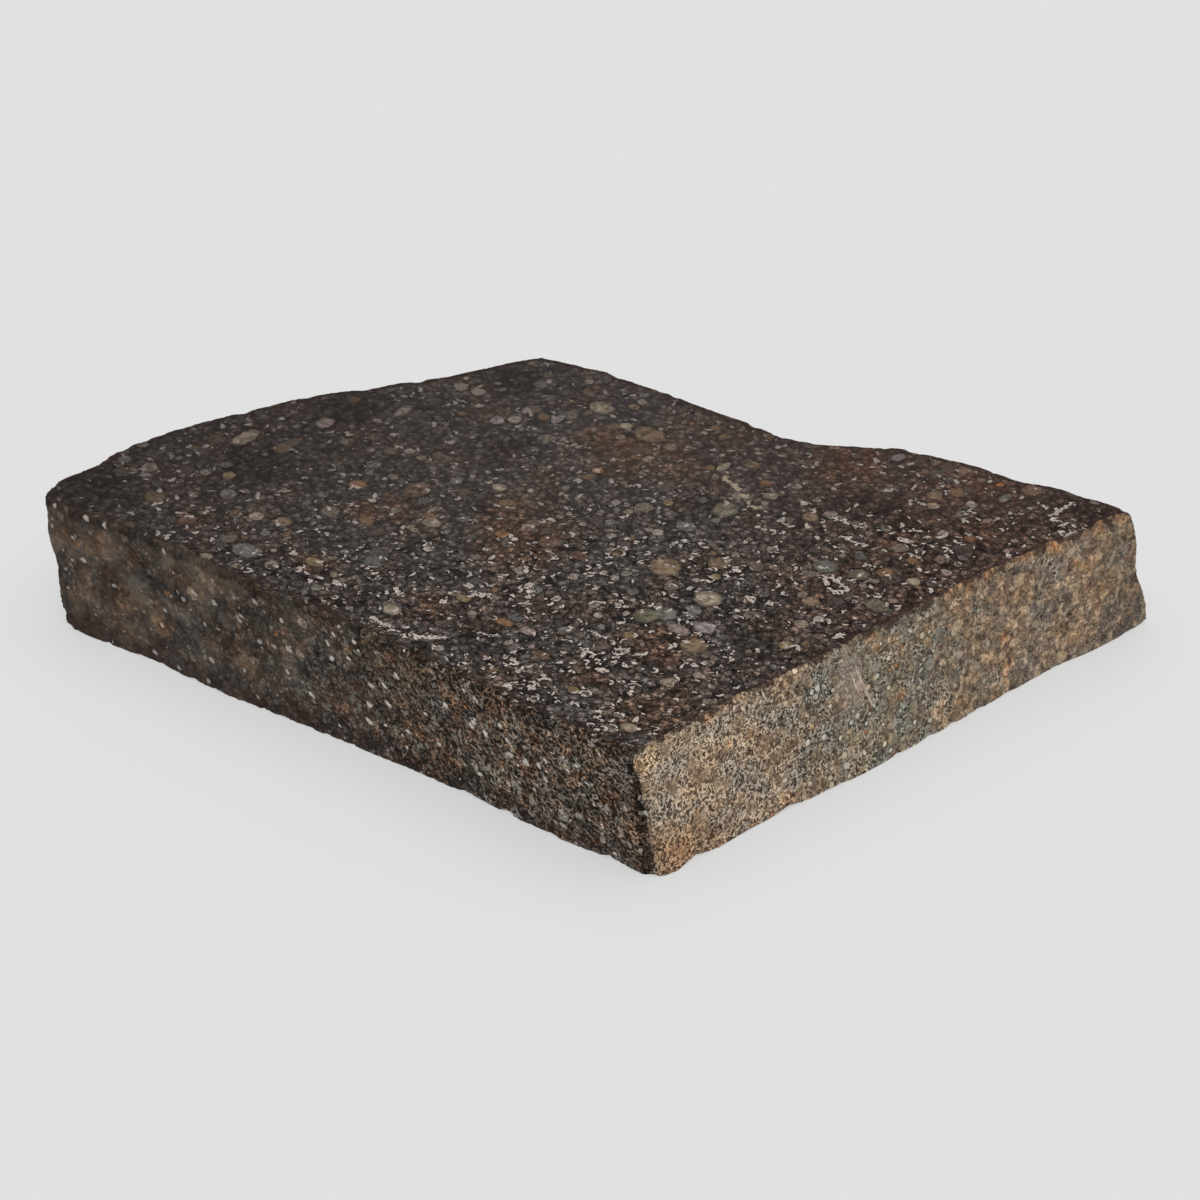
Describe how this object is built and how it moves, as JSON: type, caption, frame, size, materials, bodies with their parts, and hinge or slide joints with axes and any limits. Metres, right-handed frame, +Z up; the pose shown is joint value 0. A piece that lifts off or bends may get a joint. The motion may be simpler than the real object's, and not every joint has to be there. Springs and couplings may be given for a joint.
{
  "type": "chondrite meteorite slice",
  "caption": "Part slice of a stony chondrite meteorite: a slab with a flat polished face, straight sawn side walls and a natural weathered rim, resting flat as a specimen.",
  "frame": {"origin": "middle of the bounding box, on the flat underside", "axes": "+Z up through the slab's thickness, +X along the long sawn wall towards the near sawn corner, +Y from that wall towards the far natural rim"},
  "size_m": [0.0568, 0.0426, 0.009],
  "materials": {
    "stone": "dark charcoal and brown matrix with pale metal grains and round grey, tan and rust chondrules; polished on top, sawn matt on the side walls, weathered dark brown on the natural rim"
  },
  "bodies": {
    "root": {"slab": "stone"}
  },
  "joints": []
}
